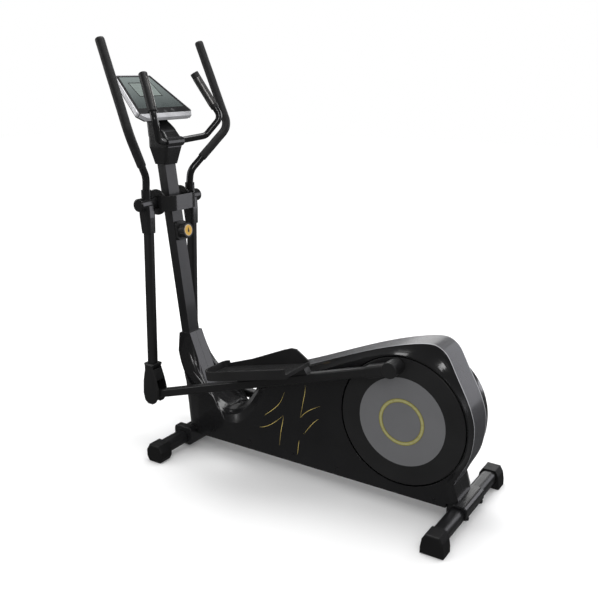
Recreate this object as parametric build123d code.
from build123d import *
import math
import os

os.makedirs("parts", exist_ok=True)

# Elliptical trainer, millimetres, +Z up, +X towards the rear, +Y towards the right-hand side.
# Every X below is counted from the crank axle; the export shifts the whole machine by CRANK_X.

# ---------------------------------------------------------------- driving dimensions
CRANK_X = 501.1
CRANK_Z = 335
CRANK_R = 202
DISC_R = 230
DISC_GAP = 5
DISC_IN = 82
DISC_OUT = 90
INLAY_R = 160
RING_OUT = 84.5
RING_IN = 71.5

PIVOT_X = -1083
PIVOT_Z = 990
FOOT_X = -1097
FOOT_Z = 205
ARM_Y = 128
HUB_R = 25
HUB_END = 175
COVER_END = 74
HOOD_REAR = -1000
HOOD_FRONT = -1052
HOOD_HALF = 93
HOOD_CORNER = 50

MAST_W = 40
MAST_D = 60
MAST_TOP = 1262
MAST_FOOT = 110
FRAME_Z = 68
MAST_X450 = -995
MAST_SLOPE = 0.135

STAB_REAR_X = 211
STAB_FRONT_X = -962
STAB_LEN = 524
STAB_W = 56
STAB_H = 50
STAB_Z = 43
CAP_LEN = 62
CAP_END = 291

SHROUD_Y = 90
SHROUD_WALL = 4
STRIP_HALF = 55.5
STRIP_T = 3
WELL_R = 243
WELL_HOLE_R = 205

FLY_X = -390
FLY_Z = 255
FLY_R = 125

BAR_R = 12.5
HANDLE_R = 14
FOAM_R = 18
TIP = (-1128, 272, 1591)
BEND = (-998, 285, 1262)

# ---------------------------------------------------------------- helpers
def save(shape, node):
    export_step(Pos(CRANK_X, 0, 0) * shape, f"parts/{node}.step")


def mirrored(shape):
    return mirror(shape, about=Plane.XZ)


def plate(points, y0, y1):
    face = make_face(Polyline(*[(x, y0, z) for x, z in points], close=True))
    return extrude(face, amount=y1 - y0, dir=(0, 1, 0))


def rod(start, end, radius):
    axis = Vector(*end) - Vector(*start)
    return Part() + Solid.make_cylinder(radius, axis.length, Plane(origin=start, z_dir=axis))


def cross_rod(x, z, radius, y0, y1):
    return rod((x, y0, z), (x, y1, z), radius)


def pipe(points, bend, radius):
    path = FilletPolyline(*points, radius=bend)
    return sweep((path ^ 0) * Circle(radius), path=path)


def block(x0, x1, y0, y1, z0, z1):
    return Pos((x0 + x1) / 2, (y0 + y1) / 2, (z0 + z1) / 2) * Box(x1 - x0, y1 - y0, z1 - z0)


def stack(sections):
    wires = [Wire.make_polygon([Vector(*p) for p in pts], close=True) for pts in sections]
    return Part() + Solid.make_loft(wires, ruled=True)


def rounded_stack(sections, y_mid, corner):
    faces = []
    for x0, x1, half, z in sections:
        faces.append(Pos((x0 + x1) / 2, y_mid, z) * RectangleRounded(x1 - x0, 2 * half, corner))
    return loft(faces, ruled=True)


def rect_at(x0, x1, half, z):
    return [(x0, -half, z), (x1, -half, z), (x1, half, z), (x0, half, z)]


def mast_x(z):
    return MAST_X450 + (450 - z) * MAST_SLOPE


def mast_prism(grow, z0, z1):
    half_x = MAST_W / 2 / math.cos(math.atan(MAST_SLOPE)) + grow
    half_y = MAST_D / 2 + grow
    return stack([rect_at(mast_x(z) - half_x, mast_x(z) + half_x, half_y, z) for z in (z0, z1)])


def stabiliser_tube(x, half, grow):
    profile = Plane.XZ * RectangleRounded(STAB_W + 2 * grow, STAB_H + 2 * grow, 19 + grow)
    return Pos(x, 0, STAB_Z) * extrude(profile, amount=half, both=True)


def inset(points, depth):
    moved = []
    count = len(points)
    for i in range(count):
        x0, z0 = points[i - 1]
        x1, z1 = points[i]
        x2, z2 = points[(i + 1) % count]
        n1 = Vector(z0 - z1, x1 - x0).normalized()
        n2 = Vector(z1 - z2, x2 - x1).normalized()
        n = n1 + n2
        n = n * (depth / max(0.35, n.dot(n1)))
        moved.append((x1 + n.X, z1 + n.Y))
    return moved


# ---------------------------------------------------------------- base frame and stabilisers
frame = block(STAB_FRONT_X - 4, 184, -25, 25, FRAME_Z + 3, MAST_FOOT)
frame -= block(STAB_FRONT_X - 5, 181, -22.5, 22.5, FRAME_Z + 5.5, MAST_FOOT - 2.5)
for x0, x1 in ((STAB_FRONT_X - 4, -900), (150, 204)):
    frame += block(x0, x1, -25, 25, FRAME_Z, FRAME_Z + 9)
frame += block(-34, 34, -20, 20, MAST_FOOT, CRANK_Z)
frame -= block(-40, 40, -14, 14, MAST_FOOT + 6, CRANK_Z - 34)
frame += cross_rod(0, CRANK_Z, 29, -36, 36)
frame -= cross_rod(0, CRANK_Z, 21, -40, 40)
frame += block(FLY_X - 32, FLY_X + 32, -34, 26, MAST_FOOT, 124)
for y0, y1 in ((-34, -28), (20, 26)):
    frame += plate(
        [(FLY_X - 32, 124), (FLY_X + 32, 124), (FLY_X + 16, 272), (FLY_X - 16, 272)], y0, y1
    )
frame -= cross_rod(FLY_X, FLY_Z, 8.8, -40, 40)
frame += block(-302, -286, 20, 26, MAST_FOOT, 382)
frame += cross_rod(-294, 370, 4, -14, 20)
save(frame, "main_frame")

for x, node in ((STAB_FRONT_X, "front_stabiliser_tube"), (STAB_REAR_X, "rear_stabiliser_tube")):
    tube = stabiliser_tube(x, STAB_LEN / 2, 0) - stabiliser_tube(x, STAB_LEN, -2.5)
    groove = block(x + STAB_W / 2 - 1.2, x + STAB_W / 2 + 1, -STAB_LEN / 2, STAB_LEN / 2, 41, 45)
    save(tube - groove, node)

REAR_CAP = [(-41, 0), (41, 0), (41, 22), (36, 52), (24, 73), (-24, 73), (-36, 52), (-41, 22)]
FRONT_CAP = [(-27, 0), (27, 0), (39, 20), (39, 46), (24, 72), (-24, 72), (-39, 46), (-39, 20)]


def end_cap(x, outline, y_end):
    points = [(x + dx, z) for dx, z in outline]
    cap = plate(points, y_end - CAP_LEN, y_end)
    cap = fillet(cap.edges().group_by(Axis.Y)[-1], 7)
    cap = fillet(cap.edges().group_by(Axis.Y)[0], 3)
    return cap - stabiliser_tube(x, STAB_LEN / 2 + 0.3, 0.2)


for x, outline, y_end, name in (
    (STAB_FRONT_X, FRONT_CAP, CAP_END - 3, "front"),
    (STAB_REAR_X, REAR_CAP, CAP_END, "rear"),
):
    cap = end_cap(x, outline, y_end)
    save(cap, f"{name}_end_cap_right")
    save(mirrored(cap), f"{name}_end_cap_left")

bolts = []
for side, x_face in ((1, STAB_REAR_X + STAB_W / 2), (-1, STAB_FRONT_X - STAB_W / 2)):
    for y in (-66, 66):
        head = rod((x_face, y, 33), (x_face + side * 4, y, 33), 10)
        head += rod((x_face + side * 4, y, 33), (x_face + side * 9, y, 33), 7)
        bolts.append(Solid(head.solid().wrapped))
save(Compound(bolts), "stabiliser_bolts")

foot = block(-1000, -912, -120, 120, 14, 90)
foot = fillet(foot.edges().filter_by(Axis.Y), 16)
foot = fillet(foot.edges().group_by(Axis.Y)[0] + foot.edges().group_by(Axis.Y)[-1], 4)
foot -= stabiliser_tube(STAB_FRONT_X, 200, 0.2)
foot -= block(-1010, -880, -91, 91, 61.7, 120)
for y in (-66, 66):
    foot -= rod((-1010, y, 33), (-980, y, 33), 11)
save(foot, "front_foot_cover")

saddle = block(174, 248, -84, 84, 28, 78)
saddle = fillet(saddle.edges().filter_by(Axis.Y), 16)
saddle = fillet(saddle.edges().group_by(Axis.Y)[0] + saddle.edges().group_by(Axis.Y)[-1], 4)
saddle -= stabiliser_tube(STAB_REAR_X, 200, 0.2)
saddle -= block(150, 204.3, -25.3, 25.3, 60, 120)
for y in (-66, 66):
    saddle -= rod((230, y, 33), (260, y, 33), 11)
save(saddle, "rear_saddle_cover")

# ---------------------------------------------------------------- mast and swing pivot
mast = mast_prism(0, MAST_FOOT, MAST_TOP) - mast_prism(-2.5, MAST_FOOT - 1, MAST_TOP + 1)
mast += cross_rod(PIVOT_X, PIVOT_Z, 23, 0.5 - COVER_END, COVER_END - 0.5)
mast -= cross_rod(PIVOT_X, PIVOT_Z, 11.3, -100, 100)
save(mast, "mast_tube")

save(cross_rod(PIVOT_X, PIVOT_Z, 11, -HUB_END + 6, HUB_END - 6), "pivot_shaft")

def hood_outline(shrink):
    y = HOOD_HALF - shrink
    rear = HOOD_REAR - shrink
    low = PIVOT_Z - 30
    path = FilletPolyline(
        (HOOD_FRONT, -y, low), (rear, -y, low), (rear, y, low), (HOOD_FRONT, y, low),
        radius=HOOD_CORNER - shrink,
    )
    return extrude(make_face(path + Line(path @ 1, path @ 0)), amount=60)


cover = hood_outline(0) - hood_outline(4)
for side in (-1, 1):
    y0, y1 = sorted((side * (COVER_END - 8), side * COVER_END))
    cheek = cross_rod(PIVOT_X, PIVOT_Z, 50, y0, y1)
    cover += fillet(cheek.edges(), 2.5)
    web_in, web_out = sorted((side * (COVER_END - 8), side * (HOOD_HALF - 1)))
    cover += block(HOOD_FRONT, HOOD_FRONT + 14, web_in, web_out, PIVOT_Z - 28, PIVOT_Z + 28)
cover -= cross_rod(PIVOT_X, PIVOT_Z, 23.3, -100, 100)
save(cover, "pivot_cover")

# ---------------------------------------------------------------- shroud
# x, z on the middle strip plane; x, z on the side face; zone of the side blend.
OUTLINE = [
    (212, 62, 198, 62, 0), (186, 135, 176, 132, 0), (208, 185, 182, 179, 0), (233, 240, 223, 248, 0),
    (244, 300, 237, 301, 0), (244, 362, 238, 361, 0), (228, 420, 225, 418, 0), (204, 471, 200, 468, 0),
    (167, 540, 148, 524, 0), (139, 590, 109, 549, 0), (112, 612, 74, 564, 0), (74, 619, 35, 573, 0),
    (-79, 580, -77, 563, 0), (-302, 491, -302, 466, 0), (-504, 409, -500, 382, 0),
    (-596, 369, -566, 330, 1), (-652, 282, -612, 247, 1), (-700, 226, -656, 190, 1),
    (-750, 200, -702, 158, 1), (-800, 204, -748, 150, 1), (-845, 228, -778, 174, 1),
    (-884, 266, -800, 212, 1), (-905, 300, -814, 236, 1), (-969, 464, -838, 254, 2),
    (-1024, 457, -876, 258, 2), (-1002, 290, -890, 220, 1), (-979, 100, -900, 88, 1),
    (-976, 62, -898, 62, 1),
]
STATIONS = [
    (0, ((0, 0), (0, 0), (0, 0))),
    (38, ((0, 0), (0, 0), (0, 0))),
    (56, ((0, 0), (0.16, 0.16), (0.05, 0.35))),
    (62, ((0.25, 0.25), (0.26, 0.26), (0.12, 0.46))),
    (68, ((0.45, 0.45), (0.37, 0.37), (0.2, 0.57))),
    (74, ((0.62, 0.62), (0.48, 0.48), (0.3, 0.68))),
    (82, ((0.82, 0.82), (0.74, 0.74), (0.64, 0.86))),
    (SHROUD_Y, ((1, 1), (1, 1), (1, 1))),
]
TOP_FIRST, TOP_LAST = 1, 14
DIP_FIRST, DIP_LAST = 15, 22


def station(y, blends, depth):
    points = []
    for px, pz, sx, sz, zone in OUTLINE:
        mix_x, mix_z = blends[zone]
        points.append((px + (sx - px) * mix_x, pz + (sz - pz) * mix_z))
    if depth:
        points = inset(points, depth)
    return [(x, y, z) for x, z in points]


def knots(first, last):
    reached = [0]
    for a, b in zip(OUTLINE[first:last], OUTLINE[first + 1:last + 1]):
        step = math.hypot(a[0] - b[0], a[1] - b[1]) ** 0.5 + math.hypot(a[2] - b[2], a[3] - b[3]) ** 0.5
        reached.append(reached[-1] + step)
    return [value / reached[-1] for value in reached]


def smooth(points, first, last):
    return Edge.make_spline([Vector(*p) for p in points], parameters=knots(first, last))


def outline_wire(points):
    edges = [
        Edge.make_line(points[0], points[TOP_FIRST]),
        smooth(points[TOP_FIRST:TOP_LAST + 1], TOP_FIRST, TOP_LAST),
        Edge.make_line(points[TOP_LAST], points[DIP_FIRST]),
        smooth(points[DIP_FIRST:DIP_LAST + 1], DIP_FIRST, DIP_LAST),
    ]
    loop = points[DIP_LAST:] + points[:1]
    edges += [Edge.make_line(a, b) for a, b in zip(loop, loop[1:])]
    return Wire(edges)


def smooth_stack(sections):
    return Part() + Solid.make_loft([outline_wire(points) for points in sections], ruled=True)


outer = smooth_stack([station(y, blends, 0) for y, blends in STATIONS])
inner = smooth_stack([
    station(min(y, SHROUD_Y - SHROUD_WALL) - (1 if y == 0 else 0), blends, SHROUD_WALL)
    for y, blends in STATIONS
])
half_shell = outer - inner
half_shell -= cross_rod(0, CRANK_Z, DISC_R + DISC_GAP, 74, 100)
well_floor = cross_rod(0, CRANK_Z, WELL_R, 74, 77) - cross_rod(0, CRANK_Z, WELL_HOLE_R, 70, 80)
half_shell += well_floor & outer
half_shell -= mast_prism(0.4, 380, 500)
half_shell -= block(-1040, STAB_FRONT_X + STAB_W / 2 + 1, -1, 99, 40, 68.4)
half_shell -= block(-970, -895, -1, 25.3, 40, 78)
half_shell -= block(173.7, 260, -1, 100, 40, 78.3)

STRIP_LINE = [(x, z) for x, z, sx, sz, zone in OUTLINE[TOP_FIRST:TOP_LAST + 1]]
STRIP_FRONT = (-560, 386)


def strip_band(line, front, depth, y_half):
    lower = []
    for i, (x, z) in enumerate(line + [front]):
        xa, za = (line + [front])[max(i - 1, 0)]
        xb, zb = (line + [front])[min(i + 1, len(line))]
        normal = Vector(za - zb, xb - xa).normalized() * depth
        lower.append((x + normal.X, -y_half, z + normal.Y))
    upper = [(x, -y_half, z) for x, z in line]
    tip = (front[0], -y_half, front[1])
    edges = [
        smooth(upper, TOP_FIRST, TOP_LAST),
        Edge.make_line(upper[-1], tip),
        Edge.make_line(tip, lower[-1]),
        Edge.make_line(lower[-1], lower[-2]),
        smooth(lower[:-1], TOP_FIRST, TOP_LAST),
        Edge.make_line(lower[0], upper[0]),
    ]
    return extrude(Face(Wire(edges)), amount=2 * y_half, dir=(0, 1, 0))


strip = strip_band(STRIP_LINE, STRIP_FRONT, STRIP_T, STRIP_HALF)
half_shell -= strip_band(STRIP_LINE, STRIP_FRONT, STRIP_T, STRIP_HALF + 0.3)
save(half_shell, "shroud_right")
save(mirrored(half_shell), "shroud_left")
save(strip, "shroud_top_strip")

screws = []
for x, z in ((-820, 92), (-640, 92), (-440, 92), (-250, 88), (130, 80), (-470, 372)):
    for side in (-1, 1):
        y0, y1 = sorted((side * SHROUD_Y, side * (SHROUD_Y + 1.6)))
        head = cross_rod(x, z, 5, y0, y1) - block(x - 0.7, x + 0.7, y0 - 2, y1 + 2, z - 3.5, z + 3.5)
        screws.extend(head.solids())
save(Compound(screws), "shroud_screws")

# ---------------------------------------------------------------- crank, discs and drive
axle = cross_rod(0, CRANK_Z, 12.5, -DISC_IN, DISC_IN)
save(chamfer(axle.edges(), 0.8), "crank_axle")

bearings = []
for y0, y1 in ((-35, -23), (23, 35)):
    ring = cross_rod(0, CRANK_Z, 21, y0, y1) - cross_rod(0, CRANK_Z, 12.55, y0 - 1, y1 + 1)
    bearings.extend(ring.solids())
save(Compound(bearings), "axle_bearings")

disc = cross_rod(0, CRANK_Z, DISC_R, DISC_IN, DISC_OUT)
disc = fillet(disc.edges().group_by(Axis.Y)[-1], 2.5)
disc += cross_rod(0, CRANK_Z, 36, 54, DISC_IN) - cross_rod(0, CRANK_Z, 12.5, 50, DISC_IN)
inlay = cross_rod(0, CRANK_Z, INLAY_R, DISC_OUT, DISC_OUT + 1)
groove = cross_rod(0, CRANK_Z, RING_OUT, DISC_OUT + 0.4, DISC_OUT + 2)
groove -= cross_rod(0, CRANK_Z, RING_IN, DISC_OUT, DISC_OUT + 3)
inlay -= groove
ring = cross_rod(0, CRANK_Z, RING_OUT, DISC_OUT + 0.4, DISC_OUT + 1.8)
ring -= cross_rod(0, CRANK_Z, RING_IN, DISC_OUT, DISC_OUT + 3)
for shape, name in ((disc, "crank_disc"), (inlay, "disc_inlay"), (ring, "disc_ring")):
    save(shape, f"{name}_right")
    save(mirrored(shape), f"{name}_left")

pulley = cross_rod(0, CRANK_Z, 166, 41, 51) - cross_rod(0, CRANK_Z, 150, 40, 44)
pulley -= cross_rod(0, CRANK_Z, 150, 48, 52)
pulley += cross_rod(0, CRANK_Z, 24, 39, 53)
pulley -= cross_rod(0, CRANK_Z, 12.5, 30, 60)
for k in range(6):
    a = math.radians(60 * k + 30)
    pulley -= cross_rod(95 * math.cos(a), CRANK_Z + 95 * math.sin(a), 30, 40, 52)
save(pulley, "drive_pulley")

wheel = cross_rod(FLY_X, FLY_Z, FLY_R, -16, 12)
wheel -= cross_rod(FLY_X, FLY_Z, FLY_R - 22, -17, -6)
wheel -= cross_rod(FLY_X, FLY_Z, FLY_R - 22, 2, 13)
wheel += cross_rod(FLY_X, FLY_Z, 18, -26, 18)
wheel += cross_rod(FLY_X, FLY_Z, 8.5, -38, 54)
wheel += cross_rod(FLY_X, FLY_Z, 26, 40, 52)
save(wheel, "flywheel")


def belt_loop(grow, y0, y1):
    span = math.hypot(FLY_X, CRANK_Z - FLY_Z)
    lean = math.atan2(FLY_Z - CRANK_Z, FLY_X)
    big, small = 166.4 + grow, 26.4 + grow
    wrap_angle = math.acos((big - small) / span)
    loop = cross_rod(0, CRANK_Z, big, y0, y1) + cross_rod(FLY_X, FLY_Z, small, y0, y1)
    corners = []
    for cx, cz, r, s in (
        (0, CRANK_Z, big, 1), (FLY_X, FLY_Z, small, 1),
        (FLY_X, FLY_Z, small, -1), (0, CRANK_Z, big, -1),
    ):
        a = lean + s * wrap_angle
        corners.append((cx + r * math.cos(a), cz + r * math.sin(a)))
    return loop + plate(corners, y0, y1)


save(belt_loop(2.2, 41.5, 50.5) - belt_loop(0, 40, 52), "drive_belt")

shoe = cross_rod(FLY_X, FLY_Z, FLY_R + 15, -20, 16) - cross_rod(FLY_X, FLY_Z, FLY_R + 6, -30, 20)
fan = [(FLY_X, FLY_Z)]
for deg in (52, 75, 100, 125):
    a = math.radians(deg)
    fan.append((FLY_X + 190 * math.cos(a), FLY_Z + 190 * math.sin(a)))
shoe &= plate(fan, -20, 16)
shoe += cross_rod(-294, 370, 9, -14, 16)
shoe += plate([(-318, 358), (-288, 362), (-290, 378), (-316, 376)], -14, 16)
shoe -= cross_rod(FLY_X, FLY_Z, FLY_R + 6, -40, 40)
shoe -= cross_rod(-294, 370, 4.3, -40, 40)
save(shoe, "brake_shoe")

# ---------------------------------------------------------------- tension knob
KNOB_Z = 872
KNOB_FACE = Plane(
    origin=(mast_x(KNOB_Z) + 20.2, 0, KNOB_Z),
    x_dir=(0, 1, 0),
    z_dir=(math.cos(math.atan(MAST_SLOPE)), 0, math.sin(math.atan(MAST_SLOPE))),
)
base = extrude(RectangleRounded(56, 74, 12), 12) + extrude(Circle(26), 24)
base -= Pos(0, 0, 20) * Cylinder(6.2, 30)
save(KNOB_FACE * base, "knob_housing")
dial = Pos(0, 0, 34.5) * Cylinder(29, 20)
for k in range(24):
    flute = Rot(0, 0, 15 * k) * Pos(30.3, 0, 34.5) * Cylinder(2.2, 22)
    dial -= flute
dial += Pos(0, 0, 17.5) * Cylinder(6, 15)
dial -= Pos(0, 0, 44) * Cylinder(22.5, 4)
save(KNOB_FACE * dial, "tension_knob")
badge = Pos(0, 0, 43.5) * Cylinder(22.5, 3)
save(KNOB_FACE * chamfer(badge.edges().group_by(Axis.Z)[-1], 0.8), "knob_face")

# ---------------------------------------------------------------- console
DECK = Plane(origin=(-1160, 0, 1398), x_dir=(0, 1, 0), z_dir=(0.634, 0, 0.776))


def deck_outline(shrink, low, high):
    corners = [(-128, -134), (128, -134), (154, -104), (97, 108), (-97, 108), (-154, -104)]
    face = fillet(make_face(Polyline(*corners, close=True)).vertices(), 9)
    if shrink:
        face = offset(face, -shrink)
    return extrude(Pos(0, 0, low) * face, amount=high - low)


button_spots = [(-46, -98), (0, -104), (46, -98)]
bezel = deck_outline(0, -16, 0)
bezel = fillet(bezel.edges().group_by(Axis.Z)[-1], 4)
glass_hole = Pos(0, 2, -2) * extrude(
    make_face(Polyline((-128, -84), (128, -84), (84, 92), (-84, 92), close=True)), amount=6
)
bezel -= glass_hole
for x, y in button_spots:
    bezel -= Pos(x, y, -6) * Cylinder(8.3, 20)
save(DECK * bezel, "console_bezel")

screen_corners = [(-127.7, -83.7), (127.7, -83.7), (83.7, 91.7), (-83.7, 91.7)]
screen = extrude(Pos(0, 2, -2) * make_face(Polyline(*screen_corners, close=True)), amount=1.6)
for x, y in button_spots:
    screen -= Pos(x, y, -1) * Cylinder(8.3, 10)
save(DECK * screen, "console_screen")

back = deck_outline(6, -24, -16)
taper = [
    [(-112, -108, -24), (112, -108, -24), (88, 60, -24), (-88, 60, -24)],
    [(-74, -74, -46), (74, -74, -46), (62, 10, -46), (-62, 10, -46)],
]
back += stack(taper)
back -= Pos(0, -100, -18) * Box(120, 26, 5)
save(DECK * back, "console_back_shell")

for i, (x, y) in enumerate(button_spots):
    button = Pos(x, y, -7) * Cylinder(8, 16)
    button = fillet(button.edges().group_by(Axis.Z)[-1], 1.5)
    save(DECK * button, f"console_button_{i + 1}")

neck = rounded_stack([(-1138, -1044, 46, 1236.2), (-1150, -1084, 38, 1290), (-1196, -1104, 48, 1372)], 0, 12)
neck -= DECK * Pos(0, 0, 154) * Box(500, 500, 400)
neck -= mast_prism(0.3, 1200, MAST_TOP + 0.4)
save(neck, "console_bracket")

# ---------------------------------------------------------------- fixed handlebar
RIGHT_BAR = [(-1048, 46, 1220), (-998, 138, 1234), (-960, 190, 1304), (-1050, 145, 1469)]
bar_path = [(x, -y, z) for x, y, z in RIGHT_BAR[::-1]] + RIGHT_BAR
save(pipe(bar_path, 34, BAR_R) - pipe(bar_path, 34, BAR_R - 2), "fixed_handlebar")

clamp = rounded_stack([(-1119, -1056, 36, 1132), (-1134, -1040, 48, 1198), (-1134, -1040, 48, 1236)], 0, 12)
clamp += fillet(cross_rod(-1046, 1218, 18, -48, 48).edges(), 2.5)
clamp -= mast_prism(0.3, 1100, 1300)
clamp -= pipe(bar_path, 34, BAR_R + 0.2)
save(clamp, "handlebar_clamp")


def along(a, b, dist):
    a, b = Vector(*a), Vector(*b)
    return tuple(b + (a - b).normalized() * dist)


grip_start = along(RIGHT_BAR[2], RIGHT_BAR[3], 152)
grip_end = along(RIGHT_BAR[2], RIGHT_BAR[3], -4)
grip = rod(grip_start, grip_end, 16.5)
grip = fillet(grip.edges(), 2.5) - rod(grip_start, RIGHT_BAR[3], BAR_R)
plate_low = along(RIGHT_BAR[2], RIGHT_BAR[3], 136)
plate_high = along(RIGHT_BAR[2], RIGHT_BAR[3], 18)
sleeve = rod(plate_low, plate_high, 17.4) - rod(plate_low, plate_high, 15.4)
axis = (Vector(*plate_high) - Vector(*plate_low)).normalized()
middle = (Vector(*plate_high) + Vector(*plate_low)) * 0.5
split = Plane(origin=middle, x_dir=Vector(0, 1, 0).cross(axis), z_dir=axis)
sleeve -= split * Pos(0, 30, 0) * Box(60, 52, 200)
sleeve -= split * Pos(0, -15, 0) * Box(2.4, 30, 200)
grip -= sleeve
save(grip, "fixed_grip_right")
save(mirrored(grip), "fixed_grip_left")
plates = list(sleeve.solids()) + list(mirrored(sleeve).solids())
save(Compound(plates), "pulse_plates")

# ---------------------------------------------------------------- swinging arms
hub = cross_rod(PIVOT_X, PIVOT_Z, HUB_R, COVER_END + 1, HUB_END)
hub = fillet(hub.edges().group_by(Axis.Y)[-1], 5)
socket_lower = rounded_stack(
    [(-1099, -1057, 21, 878), (-1107, -1055, 21, 940), (-1109, -1057, 21, 985)], ARM_Y, 10
)
hub += socket_lower
hub += rod((-1081, ARM_Y, PIVOT_Z), (-1081, ARM_Y, 1043.9), 19)
hub -= cross_rod(PIVOT_X, PIVOT_Z, 11.3, COVER_END, HUB_END - 5.7)
lower = rounded_stack([(-1112.5, -1075.5, 15, 330), (-1096.5, -1059.5, 15, 878)], ARM_Y, 9)
lower -= rounded_stack([(-1110.3, -1077.7, 12.8, 345), (-1094.3, -1061.7, 12.8, 880)], ARM_Y, 7)
fork = block(FOOT_X - 20, FOOT_X + 20, ARM_Y - 24, ARM_Y + 24, 262, 330)
fork_taper = [(FOOT_X - 18, FOOT_Z), (FOOT_X + 18, FOOT_Z), (FOOT_X + 20, 264), (FOOT_X - 20, 264)]
fork += plate(fork_taper, ARM_Y - 24, ARM_Y + 24)
fork += cross_rod(FOOT_X, FOOT_Z, 18, ARM_Y - 24, ARM_Y + 24)
fork -= block(FOOT_X - 40, FOOT_X + 40, ARM_Y - 19, ARM_Y + 19, 150, 262)
fork += cross_rod(FOOT_X, FOOT_Z, 8, ARM_Y - 24, ARM_Y + 24)
lower += fork
path_points = [(-1081, ARM_Y, 1044), (-1076, ARM_Y + 1, 1092), BEND, TIP]
handle = pipe(path_points, 62, HANDLE_R) - pipe(path_points, 62, HANDLE_R - 2)
handle -= block(-1200, -900, 0, 300, 1000, 1044)
foam_start = tuple(Vector(*path_points[1]) + (Vector(*BEND) - Vector(*path_points[1])) * 0.3)
foam_end = tuple(Vector(*TIP) + (Vector(*TIP) - Vector(*BEND)).normalized() * 4)
foam = pipe([foam_start, BEND, foam_end], 62, FOAM_R) - pipe([foam_start, BEND, TIP], 62, HANDLE_R)

BOOT = [
    (-1120, 342), (-1066, 342), (-1072, 326), (-1056, 280), (-1046, 240), (-1048, 206),
    (-1066, 178), (-1084, 167), (-1108, 167), (-1124, 180), (-1131, 212), (-1128, 262), (-1115, 326),
]
boot = plate(BOOT, ARM_Y - 29, ARM_Y + 29)
boot = chamfer(boot.edges().group_by(Axis.Y)[0] + boot.edges().group_by(Axis.Y)[-1], 5)
boot -= block(-1119, -1070, ARM_Y - 24.3, ARM_Y + 24.3, 186, 330.3)
boot -= block(-1119, -1000, ARM_Y - 22.5, ARM_Y + 22.5, 150, 276)
boot -= cross_rod(FOOT_X, FOOT_Z, 25, ARM_Y - 24.3, ARM_Y + 24.3)
boot -= rounded_stack([(-1112.9, -1075.1, 15.3, 326), (-1112, -1074, 15.3, 360)], ARM_Y, 9)
for shape, name in (
    (hub, "swing_hub"), (lower, "swing_lower_tube"), (handle, "swing_handlebar"),
    (foam, "swing_foam_grip"), (boot, "swing_foot_boot"),
):
    save(shape, f"{name}_right")
    save(mirrored(shape), f"{name}_left")

# ---------------------------------------------------------------- pedal arms and pedals
reach = math.hypot(FOOT_X, CRANK_Z - FOOT_Z)
pin_angle = math.atan2(CRANK_Z - FOOT_Z, -FOOT_X)
ARM_LEN = math.hypot(reach, CRANK_R)
PIN_DX = CRANK_R * math.sin(pin_angle)
PIN_DZ = CRANK_R * math.cos(pin_angle)


def arm_plane(high):
    sign = -1 if high else 1
    dx = sign * PIN_DX - FOOT_X
    dz = CRANK_Z - sign * PIN_DZ - FOOT_Z
    along_arm = Vector(dx, 0, dz)
    return Plane(origin=(FOOT_X, 0, FOOT_Z), x_dir=along_arm, z_dir=along_arm.cross(Vector(0, 1, 0)))


tube = Pos((30 + ARM_LEN - 26) / 2, 0, 0) * Box(ARM_LEN - 56, 36, 32)
tube = fillet(tube.edges().filter_by(Axis.X), 6)
tube -= Pos((60 + ARM_LEN - 46) / 2, 0, 0) * Box(ARM_LEN - 106, 31, 27)
tube -= Pos(140, 0, -14) * Cylinder(4, 10)
tube += Rot(90, 0, 0) * Cylinder(17, 36)
tube += Pos(20, 0, 0) * Box(32, 36, 24)
tube -= Rot(90, 0, 0) * Cylinder(8.3, 60)
bracket = plate([(470, 16), (790, 16), (784, 36.4), (470, 56.4)], -16, 16)
for x, top in ((560, 42), (680, 35)):
    bracket -= block(x - 45, x + 45, -20, 20, 21, top)
tube += bracket
tube += Pos(ARM_LEN - 26, 0, 0) * Box(40, 28, 22)
tube += Pos(ARM_LEN, -8, 0) * Rot(90, 0, 0) * Cylinder(15, 59)

arm_boot = Pos(ARM_LEN, -5, 0) * Rot(90, 0, 0) * Cylinder(28.5, 63)
arm_boot = fillet(arm_boot.edges(), 4)
arm_boot += fillet((Pos(ARM_LEN - 46, 0, 0) * Box(84, 46, 42)).edges().filter_by(Axis.X), 9)
arm_boot -= Pos(ARM_LEN, -8, 0) * Rot(90, 0, 0) * Cylinder(15, 60)
arm_boot -= Pos(ARM_LEN - 26, 0, 0) * Box(40, 28, 22)
arm_boot -= Pos(ARM_LEN - 100, 0, 0) * Box(148, 36, 32)

PLAN = [(-195, -82), (195, -82), (195, 82), (-195, 82)]


def tread_outline(depth, low, high):
    face = make_face(Polyline(*PLAN, close=True))
    face = fillet(face.vertices().group_by(Axis.X)[-1], 12)
    face = fillet(face.vertices().group_by(Axis.X)[0].sort_by(Axis.Y)[-1], 66)
    face = fillet(face.vertices().sort_by(lambda v: v.X + v.Y)[0], 30)
    if depth:
        face = offset(face, -depth)
    return extrude(Pos(0, 0, low) * face, amount=high - low)


tread = tread_outline(0, 0, 34) - tread_outline(7, 9, 40)
tread -= Pos(182, 0, 24) * Box(40, 150, 20)
guard_side = [(-190, 0), (192, 0), (192, 18), (150, 62), (128, 67), (90, 62), (-60, 34), (-190, 20)]
guard = plate(guard_side, -82, -75)
tread = (tread - Pos(0, -82, 30) * Box(600, 14, 60)) + guard
tread = Pos(590, 52, 48.9) * Rot(0, 3.66, 0) * tread

for side, high in ((-1, True), (1, False)):
    place = arm_plane(high)
    name = "left" if side < 0 else "right"
    for shape, node in ((tube, "pedal_arm"), (arm_boot, "crank_pin_boot"), (tread, "pedal")):
        if side < 0:
            shape = mirrored(shape)
        save(Pos(0, side * ARM_Y, 0) * (place * shape), f"{node}_{name}")
